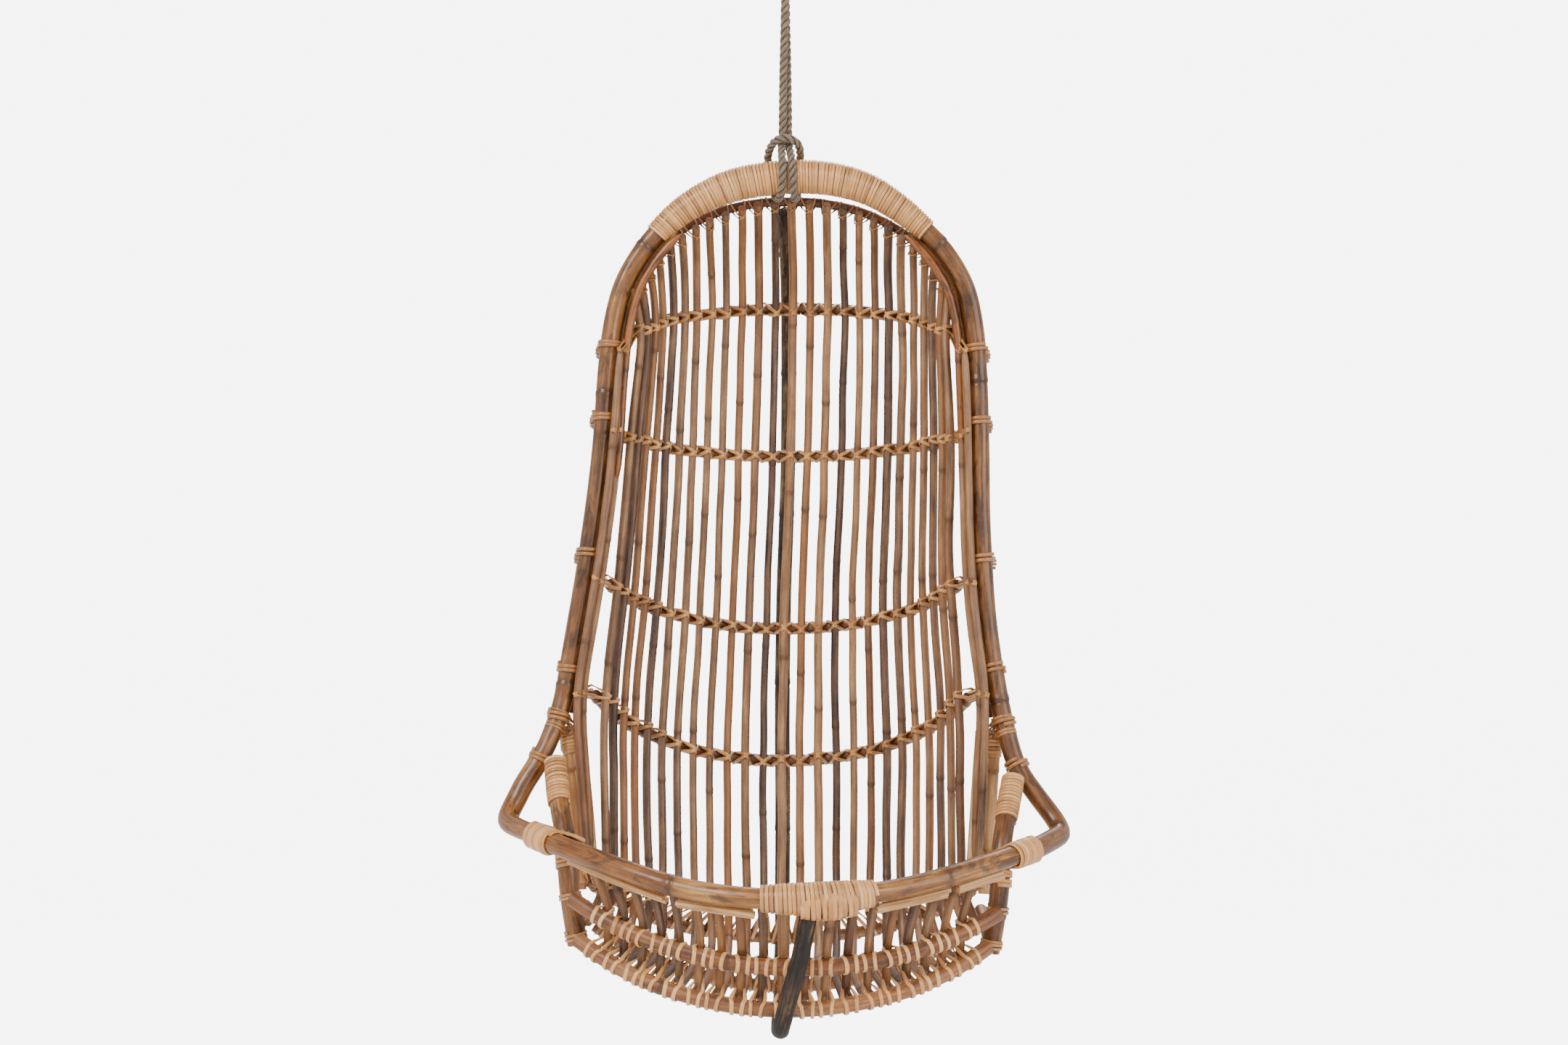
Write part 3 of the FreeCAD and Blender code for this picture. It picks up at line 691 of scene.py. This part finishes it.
straws = Surface()
for line, radius in trace("under_rail_canes", 4):
    for offset, share in (((0, 0, 0.5), 0.62), ((0, -0.35, -0.05), 0.66), ((0, 0.1, -0.55), 0.55)):
        split = Line(line.points + np.array(offset) * radius)
        split = split.part(random.uniform(0, 6) * MM, split.length - random.uniform(0, 6) * MM)
        add_cane(straws, split, radius * share, [], tone=(0.25, 0.1), spread=(0.3, 0.3), sides=12)
straws.build("under_rail_straws", CANE["straw_cane"], "straw_cane", nodes=["under_rail_canes"])


def beside(host, ends, inward, forward):
    """A line along the inner side of the hoop, between two places seen from the front."""
    start, end = (host.seen_at(*place) for place in ends)
    centre, tangent, _, _ = host.at(np.linspace(start, end, 60))
    across = unit(np.cross(tangent, (0, 1, 0)))
    inside = np.sign((across * (np.array((0, 0, -0.85)) - centre)).sum(axis=1, keepdims=True))
    return Line(centre + across * inside * inward - np.array((0, forward, 0)))


LINERS = [
    ([(-0.16, -0.4), (-0.28, -0.99)], 15 * MM, -13 * MM, 7 * MM, (-0.1, 0.1)),
    ([(-0.16, -0.4), (-0.25, -0.76)], 24 * MM, 2 * MM, 5.5 * MM, (0.1, 0.8)),
    ([(0.18, -0.4), (0.275, -0.99)], 15 * MM, -13 * MM, 7 * MM, (-0.1, 0.1)),
    ([(0.18, -0.4), (0.262, -0.72)], 24 * MM, 2 * MM, 5.5 * MM, (0.0, 0.7)),
]
liners = Surface()
for ends, inward, forward, radius, tone in LINERS:
    line = beside(hoop, ends, inward, forward)
    add_cane(liners, line, radius, random_knots(line.length, 0.15, 0.3), tone=tone, tip=30 * MM)
liners.build("hoop_liner_canes", CANE["frame_cane"], "frame_cane")


# ---------------------------------------------------------------- wraps, bands and ties of peel

def add_wrap(name, host, node, end_radius, middle_radius, pitch):
    """Many turns of peel side by side over a core that is thicker in the middle."""
    start, end = host.within(node)

    def radius(share):
        rise = min(1.0, 2.4 * min(share, 1 - share))
        return end_radius + (middle_radius - end_radius) * math.sin(rise * math.pi / 2)

    surface = Surface()
    lengths = np.linspace(start, end, 60)
    centre, _, side, up = host.at(lengths)
    angles = np.linspace(0, 2 * math.pi, 32, endpoint=False)[None, :, None]
    out = side[:, None] * np.cos(angles) + up[:, None] * np.sin(angles)
    core = np.array([radius(share) for share in np.linspace(0, 1, 60)]) - 1.2 * MM
    ring = centre[:, None] + out * core[:, None, None]
    # the core is coloured very dark (low lightness and a knot mark in its tint), darker than the cane under
    # it, as painted shade that shows in the gaps between the turns
    surface.add(ring, ring * 0.2, np.broadcast_to((-0.9, 0.3, 0.6), ring.shape))
    add_coil(surface, host, start, end, lambda share: radius(share) - 1.1 * MM, pitch, pitch * 0.9, 1.3 * MM,
             tone=(0.15, 0), spread=0.6)
    surface.build(name, CANE["cane_peel"], "cane_peel", nodes=[node])


add_wrap("top_peel_wrap", hoop, "top_wrap", 15.5 * MM, 23 * MM, 4.3 * MM)
add_wrap("front_peel_wrap", front, "front_wrap", 16 * MM, 20 * MM, 5.2 * MM)
gather = Surface()
bound = front.part(front.seen_at(0.02, -1.26), front.seen_at(0.085, -1.26))
bound = Line(bound.points - np.array((0, 0, 5.5 * MM)))
add_coil(gather, bound, 0, bound.length, lambda share: 17.5 * MM + 3 * MM * math.sin(share * math.pi),
         6.2 * MM, 6 * MM, 1.2 * MM, tone=(0.1, 0), spread=0.5)
gather.build("spine_peel_gather", CANE["cane_peel"], "cane_peel")
for side in ("left", "right"):
    for kind, (line, radius) in (("post", posts[side]), ("brace", braces[side][0])):
        node = "%s_%s_wrap" % (side, kind)
        add_wrap("%s_%s_peel_wrap" % (side, kind), line, node, radius + 1.6 * MM, radius + 2.2 * MM, 5 * MM)


BAND_WIDTH = 5.6 * MM
for side, sign in (("left", -1), ("right", 1)):
    bands = Surface()
    middles = sorted(map(Vector, loose_parts("%s_hoop_bands" % side)), key=lambda middle: -middle.z)
    for count, middle in enumerate(middles):
        place = hoop.nearest(middle)
        add_coil(bands, hoop, place - BAND_WIDTH, place + BAND_WIDTH, lambda share: hoop_radius + 0.9 * MM,
                 BAND_WIDTH, BAND_WIDTH * 0.94, 2.9 * MM, tone=(-0.5, 0.25))
        if count < 3:
            stretch = hoop.part(place - 10 * MM, place + 10 * MM)
            behind = Line(stretch.points + np.array((sign * 8, 9, -7)) * MM)
            add_coil(bands, behind, 0, behind.length,
                     lambda share: 7.5 * MM + 3 * MM * math.sin(share * math.pi), 4.4 * MM, 4.2 * MM, 1.7 * MM,
                     tone=(-0.45, 0.2))
    bands.build("%s_hoop_peel_bands" % side, CANE["cane_peel"], "cane_peel", nodes=["%s_hoop_bands" % side])

for side, sign in (("left", -1), ("right", 1)):
    lashing = Surface()
    post, post_radius = posts[side]
    add_tie(lashing, post, front, post_radius + 3 * MM, front_radius + 3 * MM, (17 * MM, 17 * MM), 5.4 * MM,
            copies=4, slant=10 * MM, gap=0.9, thick=1.6 * MM, tone=(0.2, -0.1))
    inward = end_towards(front, sign)[1]
    add_coil(lashing, front, lashing_at[side] + inward * 3 * MM, lashing_at[side] + inward * 27 * MM,
             lambda share: front_radius + 0.8 * MM + 1.5 * MM * math.sin(share * math.pi), 5.4 * MM, 5.2 * MM,
             1.5 * MM, tone=(0.1, 0))
    crossed = crossing(post, front)[0]
    downward = -np.sign(post.at(crossed)[1][2])
    add_coil(lashing, post, crossed + downward * 15 * MM, crossed + downward * 36 * MM,
             lambda share: post_radius + 0.8 * MM, 5.4 * MM, 5.1 * MM, 1.4 * MM, tone=(0.1, 0))
    for ring, _ in rings:
        joint = crossing(post, ring)[0]
        add_coil(lashing, post, joint - 5 * MM, joint + 5 * MM, lambda share: post_radius + 0.6 * MM, 4.6 * MM,
                 3.6 * MM, 1.2 * MM, tone=(-0.1, 0))
    lashing.build("%s_corner_peel" % side, CANE["cane_peel"], "cane_peel", nodes=["%s_corner_lashing" % side])
    knot = Surface()
    brace, brace_radius = braces[side][0]
    brace_top = brace.part(4 * MM, 30 * MM)
    add_tie(knot, brace_top, hoop, brace_radius + 2 * MM, hoop_radius, (9 * MM, 9 * MM), 4 * MM, copies=2,
            tone=(-0.3, 0.1))
    knot.build("%s_brace_peel_tie" % side, CANE["cane_peel"], "cane_peel")

for count, (rail, rail_radius) in enumerate(rails, start=1):
    ties = Surface()
    for slat, slat_radius in slats + side_slats["left"] + side_slats["right"]:
        add_tie(ties, slat, rail, slat_radius, rail_radius, (13 * MM, 10 * MM), 4.8 * MM, thick=1.2 * MM,
                tone=(-0.05, 0.0))
    ties.build("rail_%d_peel_ties" % count, CANE["cane_peel"], "cane_peel")
for label, (ring, ring_radius) in zip(("bottom", "middle"), rings):
    ties = Surface()
    for slat, slat_radius in slats[3:-3]:
        add_tie(ties, slat, ring, slat_radius, ring_radius, (11 * MM, 11 * MM), 5 * MM, slant=5 * MM,
                thick=1.4 * MM, tone=(0.3, -0.2))
    ties.build("%s_ring_peel_ties" % label, CANE["cane_peel"], "cane_peel")
ties = Surface()
for slat, slat_radius in slats[1:-1]:
    add_tie(ties, slat, floor_rail, slat_radius, floor_rail_radius, (10 * MM, 8 * MM), 4 * MM,
            tone=(-0.15, 0.0))
ties.build("floor_peel_ties", CANE["cane_peel"], "cane_peel")
ties = Surface()
for slat, slat_radius in slats[1:-1]:
    add_tie(ties, slat, inner, slat_radius, inner_radius, (9 * MM, 9 * MM), 2.4 * MM, thick=0.8 * MM,
            tone=(-0.25, 0.0))
ties.build("head_peel_ties", CANE["cane_peel"], "cane_peel")


# ---------------------------------------------------------------- rope

STRAND_RADIUS = 3 * MM
STRAND_OFFSET = 2.7 * MM
ROUTE = [
    (0, -0.001, 0.2716), (0, -0.0068, 0.2716), (-0.0002, -0.0096, 0.262), (-0.0008, -0.0088, 0.238),
    (-0.0016, -0.0076, 0.2), (-0.0026, -0.006, 0.16), (-0.0034, -0.0046, 0.118), (-0.0038, -0.0038, 0.078),
    (-0.0038, -0.0038, 0.063), (-0.005, -0.0058, 0.045), (-0.0048, -0.018, 0.026), (-0.004, -0.028, 0.011),
    (-0.004, -0.028, -0.011), (-0.006, -0.012, -0.0276), (-0.012, 0.0115, -0.0276), (-0.018, 0.0276, -0.011),
    (-0.023, 0.0276, 0.012), (-0.025, 0.015, 0.032), (-0.019, -0.006, 0.045), (-0.008, -0.0195, 0.05),
    (0.007, -0.0195, 0.05), (0.0185, -0.008, 0.044), (0.0205, 0.014, 0.032), (0.0195, 0.0276, 0.012),
    (0.018, 0.0276, -0.011), (0.0145, 0.0115, -0.0276), (0.011, -0.012, -0.0276), (0.01, -0.028, -0.011),
    (0.0095, -0.028, 0.011), (0.0078, -0.017, 0.026), (0.0042, -0.001, 0.045), (0.0038, 0.0038, 0.063),
    (0.0038, 0.0038, 0.078), (0.0034, 0.0046, 0.118), (0.0026, 0.006, 0.16), (0.0016, 0.0076, 0.2),
    (0.0008, 0.0088, 0.238), (0.0002, 0.0096, 0.262), (0, 0.0068, 0.2716), (0, 0.001, 0.2716),
]


def route_line(route, lift):
    """Points along a smooth curve with these control points."""
    curve = bpy.data.curves.new("route", "CURVE")
    curve.dimensions = "3D"
    spline = curve.splines.new("NURBS")
    spline.points.add(len(route) - 1)
    for point, (x, y, z) in zip(spline.points, route):
        point.co = (x, y, z + lift, 1)
    spline.order_u = 3
    spline.use_endpoint_u = True
    spline.resolution_u = 8
    holder = bpy.data.objects.new("route", curve)
    mesh = bpy.data.meshes.new_from_object(holder)
    points = [tuple(v.co) for v in mesh.vertices]
    bpy.data.meshes.remove(mesh)
    bpy.data.objects.remove(holder)
    bpy.data.curves.remove(curve)
    return points


def build_rope():
    """Three strands twisted round each other along the route, and some stray fibres."""
    path = route_line(ROUTE, BAR_Z)
    line = Line(path, 1.2 * MM)
    surface = Surface()
    lay = 31 * MM
    angles = np.linspace(0, 2 * math.pi, 12, endpoint=False)
    for strand in range(3):
        turn = line.lengths / lay * 2 * math.pi + strand * 2 * math.pi / 3
        out = line.sides * np.cos(turn)[:, None] + line.ups * np.sin(turn)[:, None]
        core = line.points + out * STRAND_OFFSET
        heading = unit(np.gradient(core, axis=0))
        out = unit(out - heading * (out * heading).sum(axis=1, keepdims=True))
        side = np.cross(heading, out)
        fluff = 1 + 0.05 * ripple(line.lengths, 0.012, strand + 40)
        ray = out[:, None] * np.cos(angles)[None, :, None] + side[:, None] * np.sin(angles)[None, :, None]
        rings = core[:, None] + ray * (STRAND_RADIUS * fluff)[:, None, None]
        twist = angles[None] + line.lengths[:, None] / (9 * MM)
        grain = np.stack([STRAND_RADIUS * np.cos(twist), STRAND_RADIUS * np.sin(twist),
                          np.broadcast_to(line.lengths[:, None] + strand, twist.shape)], axis=-1)
        # how far each point faces out of the rope, kept in the tint for the painted shade in the grooves
        facing_for_painted_shade = np.zeros(rings.shape)
        facing_for_painted_shade[..., 0] = np.cos(angles)
        surface.add(rings, grain, facing_for_painted_shade)
    for _ in range(420):
        add_hair(surface, line)
    rope = surface.build("twisted_rope", rope_material(), "rope", body=None, nodes=["rope_line", "rope_hitch"])
    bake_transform(rope)
    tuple(path[0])


def add_hair(surface, line):
    """One fibre that stands off the rope."""
    place = random.uniform(0.01, line.length - 0.01)
    centre, tangent, side, up = line.at(place)
    angle = random.uniform(0, 2 * math.pi)
    out = side * math.cos(angle) + up * math.sin(angle)
    lean = tangent * random.uniform(-1, 1) + np.cross(tangent, out) * random.uniform(-0.6, 0.6)
    rise = random.uniform(0.6, 2.2) * MM
    reach = random.uniform(1.5, 5) * MM
    points = np.array([centre + out * (4.4 * MM + rise * math.sin(share * 2)) + lean * reach * share
                       for share in np.linspace(0, 1, 5)])
    # fibres get a tint of facing fully out, so no painted groove shade
    add_strip(surface, points, np.tile(out, (5, 1)), 0.16 * MM, 0.12 * MM, (1, 0, 0))


build_rope()
steel = steel_material()
for node in ("hanging_ring", "eye_bolt", "ceiling_plate"):
    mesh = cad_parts[node].data
    mesh.materials.clear()
    mesh.materials.append(steel)


# ---------------------------------------------------------------- floor, light and camera

def add_backdrop():
    """A round pale floor that curves up into a wall all the way round."""
    floor_z = -1.9
    bend = 1.5
    profile = [(0.01, floor_z), (3, floor_z), (5, floor_z)]
    profile += [(5 + bend * math.sin(turn), floor_z + bend * (1 - math.cos(turn)))
                for turn in np.linspace(0, math.pi / 2, 20)[1:]]
    profile.append((5 + bend, 3.5))
    sides = 96
    turns = np.linspace(0, 2 * math.pi, sides, endpoint=False)
    vertices = [(reach * math.cos(turn), reach * math.sin(turn), z) for reach, z in profile for turn in turns]
    faces = [(row * sides + side, row * sides + (side + 1) % sides, (row + 1) * sides + (side + 1) % sides,
              (row + 1) * sides + side) for row in range(len(profile) - 1) for side in range(sides)]
    mesh = bpy.data.meshes.new("backdrop")
    mesh.from_pydata(vertices, [], faces)
    mesh.polygons.foreach_set("use_smooth", [True] * len(mesh.polygons))
    material, tree, shader = new_material("backdrop_paper")
    place = tree.nodes.new("ShaderNodeTexCoord").outputs["Object"]
    colour = add_ramp(tree, add_noise(tree, place, 3, 2), [(0.3, "#d9d9d7"), (0.7, "#dfdfde")])
    tree.links.new(colour, shader.inputs["Base Color"])
    shader.inputs["Roughness"].default_value = 0.9
    shader.inputs["Emission Color"].default_value = (1, 1, 1, 1)
    seen = tree.nodes.new("ShaderNodeLightPath").outputs["Is Camera Ray"]
    glow = add_math(tree, "ADD", add_math(tree, "MULTIPLY", seen, 5.5), 0.35)
    tree.links.new(glow, shader.inputs["Emission Strength"])
    mesh.materials.append(material)
    backdrop = bpy.data.objects.new("backdrop", mesh)
    bpy.context.scene.collection.objects.link(backdrop)


def add_light(name, place, target, size, power):
    data = bpy.data.lights.new(name, "AREA")
    data.shape = "DISK"
    data.size = size
    data.energy = power
    lamp = bpy.data.objects.new(name, data)
    lamp.location = place
    lamp.rotation_euler = (Vector(target) - Vector(place)).to_track_quat("-Z", "Y").to_euler()
    bpy.context.scene.collection.objects.link(lamp)


add_backdrop()
world = bpy.data.worlds.new("studio")
world.use_nodes = True
world.node_tree.nodes["Background"].inputs["Color"].default_value = (1, 1, 1, 1)
world.node_tree.nodes["Background"].inputs["Strength"].default_value = 0.75
bpy.context.scene.world = world
add_light("key", (-1.6, -2.6, 1.2), (0, 0, -0.9), 1.6, 90)
add_light("fill", (2.4, -2.2, 0.1), (0, 0, -0.9), 2.2, 45)
add_light("back", (0.5, 2.2, 1.6), (0, 0, -0.8), 1.5, 60)

camera = bpy.data.objects.new("camera", bpy.data.cameras.new("camera"))
camera.data.lens = 50
camera.data.sensor_width = 36
camera.location = (-0.002, -2.9237, -0.9555)
camera.rotation_euler = (math.radians(92.8), 0, 0)
bpy.context.scene.collection.objects.link(camera)
bpy.context.scene.camera = camera
